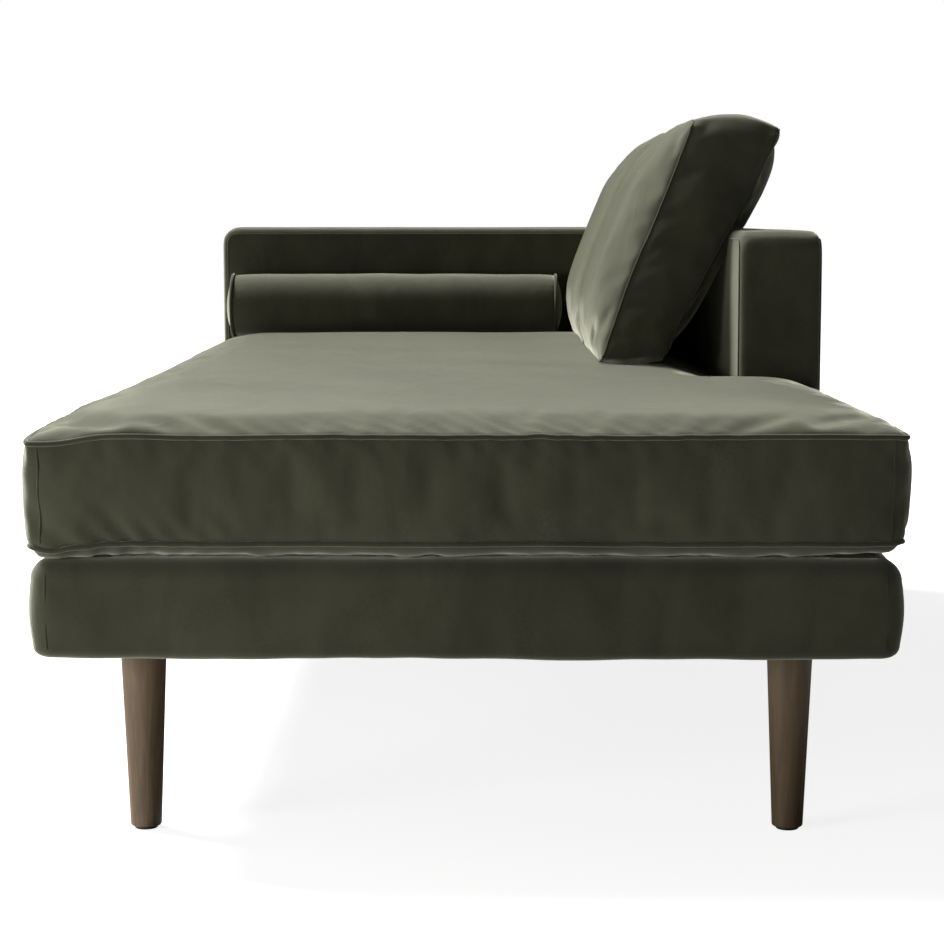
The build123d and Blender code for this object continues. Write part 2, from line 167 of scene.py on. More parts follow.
def velvet(name, colour, sheen=0.8):
    """Short-pile velvet: dark where it is seen square on and pale where it is seen along the pile."""
    nodes = Nodes(name)
    patches = nodes.noise(4.6, detail=3.0, distortion=1.1)
    brushed = nodes.noise(15.0, detail=5.0, vector=nodes.stretched((1.0, 1.0, 0.45)), distortion=0.9)
    flecks = nodes.noise(300.0, detail=3.0)
    pile = nodes.noise(1500.0, detail=1.0)
    deep = nodes.ramp(patches, [(0.34, scaled(colour, 0.70)), (0.66, scaled(colour, 1.35))])
    light = nodes.ramp(brushed, [(0.32, scaled(colour, 0.70)), (0.68, scaled(colour, 1.42))])
    nap = nodes.mixed(nodes.grey(flecks, 0.20, 0.70), deep, light)
    roughness = nodes.grey(patches, 0.80, 0.95)
    soft = nodes.bump(brushed, 0.30, 0.005)
    normal = nodes.bump(pile, 0.30, 0.0005, below=soft)
    return nodes.finish(
        nap,
        roughness,
        normal,
        Sheen_Weight=sheen,
        Sheen_Roughness=0.42,
        Sheen_Tint=(0.90, 0.90, 0.73, 1.0),
        Specular_IOR_Level=0.12,
    )


def timber(name, colour, grain=(34.0, 34.0, 2.2), roughness=(0.38, 0.55), contrast=0.35):
    """Wood with its grain along Z, unless another stretch is given."""
    nodes = Nodes(name)
    along = nodes.stretched(grain)
    rings = nodes.noise(1.0, detail=6.0, vector=along, distortion=1.2)
    pores = nodes.noise(9.0, detail=4.0, vector=along)
    low = scaled(colour, 1.0 - contrast)
    high = scaled(colour, 1.0 + contrast)
    broad = nodes.ramp(rings, [(0.30, low), (0.55, colour), (0.75, high)])
    fine = nodes.ramp(pores, [(0.40, scaled(colour, 0.55)), (0.60, high)])
    mix = nodes.grey(pores, 0.05, 0.40)
    return nodes.finish(
        nodes.mixed(mix, broad, fine),
        nodes.grey(rings, *roughness),
        nodes.bump(pores, 0.25, 0.0006),
        Specular_IOR_Level=0.45,
    )


def metal(name, colour, roughness):
    """Drawn or plated steel with a faint mottle."""
    nodes = Nodes(name)
    mottle = nodes.noise(90.0, detail=4.0)
    stops = [(0.3, scaled(colour, 0.85)), (0.7, scaled(colour, 1.1))]
    return nodes.finish(
        nodes.ramp(mottle, stops),
        nodes.grey(mottle, roughness - 0.06, roughness + 0.08),
        nodes.bump(mottle, 0.1, 0.0003),
        Metallic=1.0,
    )


def porous(name, colour, cell_scale):
    """Foam or wadding: pale, dull and full of small cells."""
    nodes = Nodes(name)
    cells = nodes.add("ShaderNodeTexVoronoi")
    cells.inputs["Scale"].default_value = cell_scale
    nodes.link(nodes.place, cells.inputs["Vector"])
    depth = cells.outputs["Distance"]
    stops = [(0.0, scaled(colour, 0.72)), (0.6, colour)]
    return nodes.finish(
        nodes.ramp(depth, stops),
        nodes.grey(depth, 0.86, 0.97, 0.0, 1.0),
        nodes.bump(depth, 0.5, 0.001),
        Specular_IOR_Level=0.1,
    )


def woven(name, colour, threads):
    """Plain woven cloth, with threads both ways."""
    nodes = Nodes(name)
    waves = []
    for direction in ("X", "Y"):
        wave = nodes.add("ShaderNodeTexWave", wave_type="BANDS", bands_direction=direction)
        wave.inputs["Scale"].default_value = threads
        wave.inputs["Distortion"].default_value = 0.6
        nodes.link(nodes.place, wave.inputs["Vector"])
        waves.append(wave.outputs["Fac"])
    weave = nodes.add("ShaderNodeMath", operation="MULTIPLY")
    nodes.link(waves[0], weave.inputs[0])
    nodes.link(waves[1], weave.inputs[1])
    slubs = nodes.noise(40.0, detail=3.0)
    stops = [(0.0, scaled(colour, 0.65)), (1.0, scaled(colour, 1.25))]
    return nodes.finish(
        nodes.ramp(weave.outputs["Value"], stops),
        nodes.grey(slubs, 0.82, 0.95),
        nodes.bump(weave.outputs["Value"], 0.4, 0.0005),
        Specular_IOR_Level=0.15,
    )


def moulded(name, colour):
    """Moulded plastic with a fine texture."""
    nodes = Nodes(name)
    grain = nodes.noise(600.0, detail=3.0)
    stops = [(0.3, scaled(colour, 0.85)), (0.7, scaled(colour, 1.15))]
    return nodes.finish(
        nodes.ramp(grain, stops),
        nodes.grey(grain, 0.5, 0.65),
        nodes.bump(grain, 0.2, 0.0003),
    )


olive = (0.050, 0.0505, 0.031)
finishes = {
    "velvet": velvet("velvet", olive),
    # welt_velvet is the same velvet made darker and with less sheen; its darker colour is painted
    # shade for the dark lines along the piping and seams
    "welt_velvet": velvet("welt_velvet", scaled(olive, 0.80), sheen=0.65),
    "walnut": timber("walnut", (0.158, 0.104, 0.054)),
    "hardwood": timber("hardwood", (0.55, 0.40, 0.25), grain=(3.0, 30.0, 30.0)),
    "plywood": timber("plywood", (0.58, 0.44, 0.28), grain=(3.0, 16.0, 16.0), contrast=0.2),
    "spring_steel": metal("spring_steel", (0.42, 0.42, 0.43), 0.42),
    "plated_steel": metal("plated_steel", (0.62, 0.62, 0.60), 0.34),
    "foam": porous("foam", (0.80, 0.74, 0.55), 700.0),
    "wadding": porous("wadding", (0.86, 0.86, 0.83), 420.0),
    "deck_cloth": woven("deck_cloth", (0.050, 0.050, 0.042), 420.0),
    "dust_cloth": woven("dust_cloth", (0.014, 0.014, 0.014), 300.0),
    "glide_plastic": moulded("glide_plastic", (0.03, 0.03, 0.03)),
    "zip": moulded("zip", (0.045, 0.045, 0.036)),
}


def dress(piece, body, slot, *replaced):
    """Gives a finished piece the material of its slot and its body, and hides the CAD nodes it stands
    for.
    """
    piece.data.materials.clear()
    piece.data.materials.append(finishes[slot])
    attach(piece, body)
    if replaced:
        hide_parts(*replaced)
    return piece


# ---- Mesh helpers ----


def new_piece(name, verts, faces):
    """A smooth-shaded mesh object from vertices and faces, with its normals outwards."""
    mesh = bpy.data.meshes.new(name)
    mesh.from_pydata([tuple(v) for v in verts], [], faces)
    edit = bmesh.new()
    edit.from_mesh(mesh)
    bmesh.ops.remove_doubles(edit, verts=edit.verts, dist=1e-6)
    bmesh.ops.recalc_face_normals(edit, faces=edit.faces)
    edit.to_mesh(mesh)
    edit.free()
    mesh.shade_smooth()
    piece = bpy.data.objects.new(name, mesh)
    scene.collection.objects.link(piece)
    return piece


def baked(piece):
    """Applies the piece's modifiers to its mesh."""
    bpy.context.view_layer.update()
    graph = bpy.context.evaluated_depsgraph_get()
    mesh = bpy.data.meshes.new_from_object(piece.evaluated_get(graph))
    piece.modifiers.clear()
    piece.data = mesh
    mesh.shade_smooth()
    return piece


def remeshed(piece, voxel):
    """Even quads over the whole piece."""
    modifier = piece.modifiers.new("even", "REMESH")
    modifier.mode = "VOXEL"
    modifier.voxel_size = voxel
    return baked(piece)


def subdivided(piece):
    """One level of smooth subdivision."""
    piece.modifiers.new("smooth", "SUBSURF").levels = 1
    return baked(piece)


def softened(piece, repeats):
    """Evens out the sharpest folds of a piece."""
    modifier = piece.modifiers.new("soft", "SMOOTH")
    modifier.factor = 0.5
    modifier.iterations = repeats
    return baked(piece)


def moved(piece, change):
    """Moves every vertex of a piece by a function of its place."""
    for vertex in piece.data.vertices:
        vertex.co = change(vertex.co)
    return piece


def roughened(piece, amount, scale, seed=0.0):
    """Pushes the surface gently in and out along its normals."""
    offset = Vector((seed, seed * 1.7, seed * 0.3))
    normals = [vertex.normal.copy() for vertex in piece.data.vertices]
    for vertex, normal in zip(piece.data.vertices, normals):
        vertex.co += normal * amount * noise.noise(vertex.co * scale + offset)
    return piece


def quarter_turn(start, end, share):
    """A point on the quarter circle between two radii at right angles."""
    angle = math.pi / 2 * share
    return start * math.cos(angle) + end * math.sin(angle)


def rounded_outline(corners, radii, step):
    """A closed outline with right-angled corners made round, as points about a step apart."""
    count = len(corners)
    points = []
    arcs = []
    for i, corner in enumerate(corners):
        corner = Vector(corner)
        before = (Vector(corners[i - 1]) - corner).normalized()
        after = (Vector(corners[(i + 1) % count]) - corner).normalized()
        half_angle = before.angle(after) / 2
        reach = radii[i] / math.tan(half_angle)
        start = corner + before * reach
        end = corner + after * reach
        centre = corner + (before + after).normalized() * radii[i] / math.sin(half_angle)
        turns = max(3, round((math.pi - 2 * half_angle) * radii[i] / (step * 0.5)))
        arc = []
        for k in range(turns + 1):
            arc.append(centre + quarter_turn(start - centre, end - centre, k / turns))
        arcs.append(arc)
    for i, arc in enumerate(arcs):
        points.extend(arc)
        end = arc[-1]
        start = arcs[(i + 1) % count][0]
        parts = max(1, round((start - end).length / step))
        points.extend(end.lerp(start, k / parts) for k in range(1, parts))
    return points


def tube(name, path, radius, closed=True, sides=10):
    """A round cord along a path of points."""
    curve = bpy.data.curves.new(name, "CURVE")
    curve.dimensions = "3D"
    curve.bevel_depth = radius
    curve.bevel_resolution = max(0, sides // 2 - 2)
    curve.use_fill_caps = not closed
    spline = curve.splines.new("POLY")
    spline.points.add(len(path) - 1)
    for point, place in zip(spline.points, path):
        point.co = (*place, 1.0)
    spline.use_cyclic_u = closed
    holder = bpy.data.objects.new(name, curve)
    scene.collection.objects.link(holder)
    bpy.context.view_layer.update()
    graph = bpy.context.evaluated_depsgraph_get()
    mesh = bpy.data.meshes.new_from_object(holder.evaluated_get(graph))
    bpy.data.objects.remove(holder)
    mesh.name = name
    mesh.shade_smooth()
    piece = bpy.data.objects.new(name, mesh)
    scene.collection.objects.link(piece)
    return piece


def joined(name, pieces):
    """Several meshes as one piece."""
    edit = bmesh.new()
    for piece in pieces:
        edit.from_mesh(piece.data)
    mesh = bpy.data.meshes.new(name)
    edit.to_mesh(mesh)
    edit.free()
    mesh.shade_smooth()
    for piece in pieces:
        bpy.data.objects.remove(piece)
    whole = bpy.data.objects.new(name, mesh)
    scene.collection.objects.link(whole)
    return whole


def stuffed(piece, held, pressure, surplus, cap, frames=20):
    """Blows a cover up with its held points fixed, as stuffing does, and keeps the result."""
    start = [vertex.co.copy() for vertex in piece.data.vertices]
    group = piece.vertex_groups.new(name="held")
    group.add(held, 1.0, "REPLACE")
    cloth = piece.modifiers.new("stuffing", "CLOTH")
    settings = cloth.settings
    settings.vertex_group_mass = "held"
    settings.use_pressure = True
    settings.uniform_pressure_force = pressure
    settings.shrink_min = -surplus
    settings.effector_weights.gravity = 0
    settings.quality = 5
    settings.bending_stiffness = 0.8
    cloth.point_cache.frame_end = frames
    for number in range(1, frames + 1):
        scene.frame_set(number)
    graph = bpy.context.evaluated_depsgraph_get()
    mesh = bpy.data.meshes.new_from_object(piece.evaluated_get(graph))
    piece.modifiers.clear()
    piece.vertex_groups.clear()
    for vertex, place, blown in zip(piece.data.vertices, start, mesh.vertices):
        shift = blown.co - place
        if shift.length > cap:
            shift *= cap / shift.length
        vertex.co = place + shift
    scene.frame_set(1)
    return piece


def seam_tree(paths):
    """A quick way to find the nearest seam point."""
    places = [place for path in paths for place in path]
    tree = KDTree(len(places))
    for i, place in enumerate(places):
        tree.insert(place, i)
    tree.balance()
    return tree


def held_by(piece, paths, reach):
    """The vertices that lie along the seams."""
    tree = seam_tree(paths)
    return [v.index for v in piece.data.vertices if tree.find(v.co)[2] < reach]


def evenly(place):
    """The same depth everywhere."""
    return 1.0


def puckered(piece, paths, depth, wave, reach=0.018, strength=evenly):
    """Small puckers that start at the seams and fade out away from them."""
    tree = seam_tree(paths)
    normals = [vertex.normal.copy() for vertex in piece.data.vertices]
    for vertex, normal in zip(piece.data.vertices, normals):
        place = vertex.co
        away = tree.find(place)[2]
        if away > 4 * reach:
            continue
        near = math.exp(-away / reach) * (1 - math.exp(-away / 0.005))
        along = place.x + place.y + 0.7 * place.z
        phase = 2 * math.pi * along / wave + 5 * noise.noise(place * 8)
        patchy = max(0.0, 0.45 + 1.3 * noise.noise(place * 5 + Vector((9, 2, 4))))
        vertex.co = place + normal * depth * near * patchy * strength(place) * math.sin(phase)
    return piece


def laid_on(piece, path, lift=0.0, closed=True):
    """A path moved onto a piece's surface, lifted off it a little and smoothed along its length."""
    bpy.context.view_layer.update()
    laid = []
    for point in path:
        _, place, normal, _ = piece.closest_point_on_mesh(point)
        laid.append(place + normal * lift)
    smooth = []
    for i, place in enumerate(laid):
        if not closed and i in (0, len(laid) - 1):
            smooth.append(place)
            continue
        following = laid[(i + 1) % len(laid)]
        smooth.append(laid[i - 1] * 0.3 + place * 0.4 + following * 0.3)
    return smooth


def ring_faces(rows, size):
    """The faces between rings of points that follow each other, each ring of one size."""
    faces = []
    for row in range(rows - 1):
        low = row * size
        high = low + size
        for i in range(size):
            j = (i + 1) % size
            faces.append((low + i, low + j, high + j, high + i))
    return faces


def swept(name, outline, profile):
    """Sweeps a profile of (inset, level) pairs round an outline in the XY plane."""
    count = len(outline)
    verts = []
    for inset, level in profile:
        for i, place in enumerate(outline):
            along = (outline[(i + 1) % count] - outline[i - 1]).normalized()
            inwards = Vector((-along.y, along.x, 0))
            verts.append(Vector((place.x, place.y, level)) + inwards * inset)
    return new_piece(name, verts, ring_faces(len(profile), count))


def arc_profile(centre, radius, start, end, steps):
    """Points of an arc in a profile, by angles in degrees, as (inset, level) pairs."""
    points = []
    for k in range(steps + 1):
        angle = math.radians(start + (end - start) * k / steps)
        points.append(
            (centre[0] + radius * math.cos(angle), centre[1] + radius * math.sin(angle))
        )
    return points


# ---- Mattress ----

top_welt_low, top_welt_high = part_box("mattress_top_welt")
bottom_welt_low, bottom_welt_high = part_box("mattress_bottom_welt")
mattress_low, mattress_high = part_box("mattress_cover")
back_low, back_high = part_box("back_cover")
top_seam = (top_welt_low.z + top_welt_high.z) / 2
bottom_seam = (bottom_welt_low.z + bottom_welt_high.z) / 2


def mattress_outline(inset, level, step=0.012, corner=0.016):
    """The L-shaped outline of the mattress, inset from the outside of its welts."""
    left = top_welt_low.x + inset
    right = top_welt_high.x - inset
    foot = top_welt_low.y + inset
    head = top_welt_high.y - inset
    step_x = back_low.x - panel_gap - inset
    step_y = back_low.y - panel_gap - inset
    corners = [
        (left, foot, level),
        (right, foot, level),
        (right, step_y, level),
        (step_x, step_y, level),
        (step_x, head, level),
        (left, head, level),
    ]
    return rounded_outline(corners, [corner] * len(corners), step)


def mattress_shift(place):
    """The small unevenness of the mattress: a slack front-left corner and slow waves."""
    shift = Vector((0, 0, 0))
    from_left = place.x - top_welt_low.x
    from_foot = place.y - top_welt_low.y
    slack = math.exp(-(((from_left - 0.030) / 0.045) ** 2)) * math.exp(-from_foot / 0.16)
    shift.z -= 0.0085 * slack
    tuck = max(0.0, min(1.0, (top_seam - place.z) / (top_seam - bottom_seam)))
    free = max(0.0, min(1.0, (back_low.y - 0.04 - place.y) / 0.12))
    shift.x += (0.0045 * free - 0.0020 * tuck * tuck) * place.x / top_welt_high.x
    shift.y -= 0.0030 * tuck * tuck * place.y / top_welt_high.y
    shift.z += 0.0016 * noise.noise(Vector((place.x * 6, place.y * 6, 3.1)))
    shift.x += 0.0012 * noise.noise(Vector((place.y * 5, place.z * 9, 7.7)))
    shift.y += 0.0012 * noise.noise(Vector((place.x * 5, place.z * 9, 1.9)))
    return place + shift


def mattress_slack(place):
    """Where the mattress cover is loosest: the front-left corner and the foot of its sides."""
    left = math.exp(-max(0.0, place.x - top_welt_low.x) / 0.28)
    front = math.exp(-max(0.0, place.y - top_welt_low.y) / 0.30)
    low = 0.35 if bottom_seam < place.z < bottom_seam + 0.05 else 0.0
    return 0.30 + low + 1.0 * left * front


def mattress_inset(place, inset):
    """How far a place on the top or bottom panel lies inside its seam."""
    across = min(place.x - top_welt_low.x, top_welt_high.x - place.x)
    along = min(place.y - top_welt_low.y, (top_welt_high.y - place.y) * 0.8)
    notch = max(back_low.x - panel_gap - place.x, back_low.y - panel_gap - place.y)
    return max(0.0, min(across, along, notch) - inset)


def swollen(inset, softness):
    """The share of its full height that a panel reaches at a distance inside its seam."""
    return 1 - math.exp(-inset / softness)


def mattress():
    """The crowned mattress cover, blown up between its seams."""
    seam_inset = 2 * welt_radius
    layers = [
        mattress_outline(0.060, mattress_low.z),
        mattress_outline(seam_inset, bottom_seam),
        mattress_outline(seam_inset, top_seam),
    ]
    edit = bmesh.new()
    rings = []
    for layer in layers:
        rings.append([edit.verts.new(point) for point in layer])
    count = len(rings[1])
    edit.faces.new(reversed(rings[0]))
    for i in range(count):
        j = (i + 1) % count
        edit.faces.new((rings[1][i], rings[1][j], rings[2][j], rings[2][i]))
    edit.faces.new(rings[2])
    edit.faces.new(list(reversed(rings[1])))
    mesh = bpy.data.meshes.new("mattress_upholstery")
    bmesh.ops.triangulate(edit, faces=edit.faces)
    edit.to_mesh(mesh)
    edit.free()
    piece = bpy.data.objects.new("mattress_upholstery", mesh)
    scene.collection.objects.link(piece)
    remeshed(piece, mattress_voxel)
    height = mattress_high.z - top_seam - 0.003
    depth = bottom_seam - mattress_low.z

    def crowned(place):
        above = (place.z - bottom_seam) / (top_seam - bottom_seam)
        inset = mattress_inset(place, seam_inset)
        if above > 0.98:
            return place + Vector((0, 0, height * swollen(inset, 0.050)))
        if above < 0.02:
            roll = 0.60 * swollen(inset, 0.006) + 0.40 * swollen(inset, 0.050)
            return place - Vector((0, 0, depth * roll))
        return place

    moved(piece, crowned)
    seams = [
        mattress_outline(seam_inset, top_seam, step=0.006),
        mattress_outline(seam_inset, bottom_seam, step=0.006),
    ]
    held = held_by(piece, seams, 0.0075)
    resting = mattress_low.z + 0.003
    held += [v.index for v in piece.data.vertices if v.co.z < resting]
    stuffed(piece, held, pressure=2.5, surplus=0.018, cap=0.0085)
    subdivided(piece)
    puckered(piece, seams, 0.0034, 0.030, reach=0.020, strength=mattress_slack)
    roughened(piece, 0.0020, 5.0, seed=8.0)
    moved(piece, mattress_shift)
    lowest = mattress_low.z + 0.0004
    moved(piece, lambda place: Vector((place.x, place.y, max(place.z, lowest))))
    dress(piece, "mattress", "velvet", "mattress_cover", "mattress_core", "mattress_topper")
    return piece


def mattress_corner_seams(cushioned):
    """The upright seams of the boxing strip, near each outer corner."""
    seams = []
    left = top_welt_low.x + 0.018
    right = top_welt_high.x - 0.018
    foot = top_welt_low.y
    head = top_welt_high.y
    for x, y in ((left, foot), (right, foot), (left, head)):
        path = []
        for k in range(15):
            z = bottom_seam + (top_seam - bottom_seam) * k / 14
            path.append(Vector((x, y, z)))
        laid = laid_on(cushioned, path, closed=False)
        seams.append(tube("seam", laid, seam_radius, closed=False, sides=8))
    dress(joined("mattress_corner_seams", seams), "mattress", "welt_velvet")


def mattress_piping(cushioned):
    """The welts on the top and bottom seams of the mattress."""
    for name, level, node in (
        ("mattress_top_piping", top_seam, "mattress_top_welt"),
        ("mattress_bottom_piping", bottom_seam, "mattress_bottom_welt"),
    ):
        path = [mattress_shift(p) for p in mattress_outline(welt_radius, level, step=0.008)]
        welt = tube(name, laid_on(cushioned, path, 0.35 * welt_radius), welt_radius)
        dress(welt, "mattress", "welt_velvet", node)


# ---- Base ----


def base_outline(inset=0.0):
    """The plan of the base with its rounded corners."""
    low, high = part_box("base_cover")
    corners = [
        (low.x + inset, low.y + inset, 0),
        (high.x - inset, low.y + inset, 0),
        (high.x - inset, high.y - inset, 0),
        (low.x + inset, high.y - inset, 0),
    ]
    return rounded_outline(corners, [base_corner_radius] * len(corners), 0.010)


def base_cover():
    """Velvet pulled round the base, over its top edge and under its foot."""
    low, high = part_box("base_cover")
    profile = [(0.075, high.z - 0.0020), (0.070, high.z - 0.0006), (0.050, high.z)]
    sides = 10
    start = high.z - base_top_radius
    end = low.z + base_bottom_radius
    profile += arc_profile((base_top_radius, start), base_top_radius, 90, 180, 10)
    for k in range(1, sides):
        bulge = -0.0034 * math.sin(math.pi * k / sides)
        profile.append((bulge, start + (end - start) * k / sides))
    profile += arc_profile((base_bottom_radius, end), base_bottom_radius, 180, 270, 8)
    profile += [(0.032, low.z), (0.044, low.z)]
    piece = swept("base_upholstery", base_outline(), profile)
    roughened(piece, 0.0026, 6.0, seed=2.0)
    roughened(piece, 0.0012, 19.0, seed=5.0)
    modifier = piece.modifiers.new("cloth", "SOLIDIFY")
    modifier.thickness = 0.002
    modifier.offset = -1
    baked(piece)
    dress(piece, "base", "velvet", "base_cover", "base_padding")
    return piece


def rounding(past, radius):
    """How far a rounded edge has drawn in, at a distance past the start of its curve."""
    if past <= 0:
        return 0.0
    return radius - math.sqrt(max(0.0, radius**2 - past**2))


def base_seams(cover):
    """The sewn seams that run up the corners of the base."""
    low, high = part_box("base_cover")
    inset = 0.020
    seams = []
    for x in (low.x + inset, high.x - inset):
        for y, out in ((low.y, -1), (high.y, 1)):
            path = []
            for k in range(13):
                z = low.z + 0.012 + (high.z - low.z - 0.028) * k / 12
                edge = rounding(z - high.z + base_top_radius, base_top_radius)
                edge += rounding(low.z + base_bottom_radius - z, base_bottom_radius)
                path.append(Vector((x, y + out * (0.0002 - edge), z)))
            laid = laid_on(cover, path, closed=False)
            seams.append(tube("seam", laid, seam_radius, closed=False, sides=8))
    dress(joined("base_corner_seams", seams), "base", "welt_velvet")


def deck():
    """The deck cloth, drawn down a little between the springs."""
    low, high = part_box("deck_cloth")
    steps_x = 40
    steps_y = 92
    verts = []
    for j in range(steps_y + 1):
        for i in range(steps_x + 1):
            x = low.x + (high.x - low.x) * i / steps_x
            y = low.y + (high.y - low.y) * j / steps_y
            edge = min(i, steps_x - i, j, steps_y - j)
            sag = 0.0012 * min(1.0, edge / 4) * (1 - math.cos(y * 34))
            verts.append((x, y, high.z - 0.0002 - sag * 0.4))
    faces = []
    row = steps_x + 1
    for j in range(steps_y):
        for i in range(steps_x):
            a = j * row + i
            faces.append((a, a + 1, a + row + 1, a + row))
    piece = new_piece("deck_fabric", verts, faces)
    modifier = piece.modifiers.new("cloth", "SOLIDIFY")
    modifier.thickness = 0.001
    modifier.offset = -1
    baked(piece)
    dress(piece, "base", "deck_cloth", "deck_cloth")


# ---- Arm and back panel ----


def panel_outline(half, foot, top, inset):
    """The outline of a panel in length and height, round at its two upper corners."""
    end_radius = max(0.004, panel_corner_radius - inset)
    foot_radius = max(0.002, panel_foot_radius - inset)
    corners = [
        (-half + inset, foot + min(inset, 0.02), 0),
        (half - inset, foot + min(inset, 0.02), 0),
        (half - inset, top - inset, 0),
        (-half + inset, top - inset, 0),
    ]
    radii = [foot_radius, foot_radius, end_radius, end_radius]
    return corners, radii


def panel_ring(half, foot, top, inset, depth, counts):
    """One ring of points round a panel, the same number of points on every ring."""
    corners, radii = panel_outline(half, foot, top, inset)
    ring = []
    for i, corner in enumerate(corners):
        corner = Vector(corner)
        before = (Vector(corners[i - 1]) - corner).normalized()
        after = (Vector(corners[(i + 1) % 4]) - corner).normalized()
        radius = min(radii[i], 0.45 * (top - foot - 2 * inset))
        radius = max(radius, 0.0005)
        start = corner + before * radius
        end = corner + after * radius
        centre = corner + (before + after) * radius
        for k in range(counts[0] + 1):
            ring.append(centre + quarter_turn(start - centre, end - centre, k / counts[0]))
        following = Vector(corners[(i + 1) % 4])
        next_radius = min(radii[(i + 1) % 4], 0.45 * (top - foot - 2 * inset))
        next_start = following - after * max(next_radius, 0.0005)
        parts = counts[1] if i % 2 == 0 else counts[2]
        ring.extend(end.lerp(next_start, k / parts) for k in range(1, parts))
    return [Vector((p.x, depth, p.y)) for p in ring]


def panel(name, node_prefix, along_y):
    """An upholstered panel: two faces, a boxing strip between them, and soft edges."""
    low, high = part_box(node_prefix + "_cover")
    length = high.y - low.y if along_y else high.x - low.x
    thickness = high.x - low.x if along_y else high.y - low.y
    half = length / 2
    deep = thickness / 2
    edge = 0.011
    height = high.z - low.z
    profile = []
    for k in range(9, 0, -1):
        share = k / 9
        inset = edge + (height * 0.46 - edge) * share**1.3
        profile.append((inset, -deep - 0.0030 * (1 - (1 - share) ** 2.5)))
    for angle in (0, 18, 36, 54, 72, 90):
        turn = math.radians(angle)
        profile.append((edge - edge * math.sin(turn), -deep + edge - edge * math.cos(turn)))
    boxing = 8
    for k in range(1, boxing):
        share = k / boxing
        bulge = -0.0018 * math.sin(math.pi * share)
        profile.append((bulge, -deep + edge + (thickness - 2 * edge) * share))
    mirrored = [(inset, -depth) for inset, depth in reversed(profile)]
    profile = profile + mirrored[boxing - 1 :]
    counts = (8, max(10, round(length / 0.016)), max(8, round(height / 0.016)))
    middle = (low + high) / 2

    def stood(points):
        """Points of the panel's own length, depth and height, at its place on the daybed."""
        if along_y:
            return [Vector((middle.x + v.y, middle.y - v.x, v.z)) for v in points]
        return [Vector((middle.x + v.x, middle.y + v.y, v.z)) for v in points]

    rings = [panel_ring(half, low.z, high.z, inset, depth, counts) for inset, depth in profile]
    verts = [point for ring in rings for point in ring]
    size = len(rings[0])
    faces = ring_faces(len(rings), size)
    last = (len(rings) - 1) * size
    faces.append(tuple(range(size)))
    faces.append(tuple(last + i for i in reversed(range(size))))
    piece = new_piece(name, stood(verts), faces)
    remeshed(piece, panel_voxel)
    roughened(piece, 0.0009, 3.5, seed=4.0 if along_y else 9.0)
    roughened(piece, 0.0001, 16.0, seed=1.0)
    subdivided(piece)
    dress(piece, "base", "velvet", node_prefix + "_cover", node_prefix + "_foam")
    seams = []
    for depth in (-deep, deep):
        ring = stood(panel_ring(half, low.z, high.z, edge * 0.95, depth, counts))
        seams.append(tube("seam", laid_on(piece, ring, 0.4 * seam_radius), seam_radius, sides=8))
    dress(joined(node_prefix + "_edge_seams", seams), "base", "welt_velvet")


# ---- Back cushions ----


def cushion_corners(name):
    """The corners of a cushion's section as X and Z, read from its welts."""
    front_low, front_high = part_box(name + "_front_welt")
    rear_low, rear_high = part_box(name + "_back_welt")
    inset = welt_radius
    front_bottom = Vector((front_low.x + inset, 0, front_low.z + inset))
    front_top = Vector((front_high.x - inset, 0, front_high.z - inset))
    back_bottom = Vector((rear_low.x + inset, 0, rear_low.z + inset))
    back_top = Vector((rear_high.x - inset, 0, rear_high.z - inset))
    return front_bottom, front_top, back_top, back_bottom


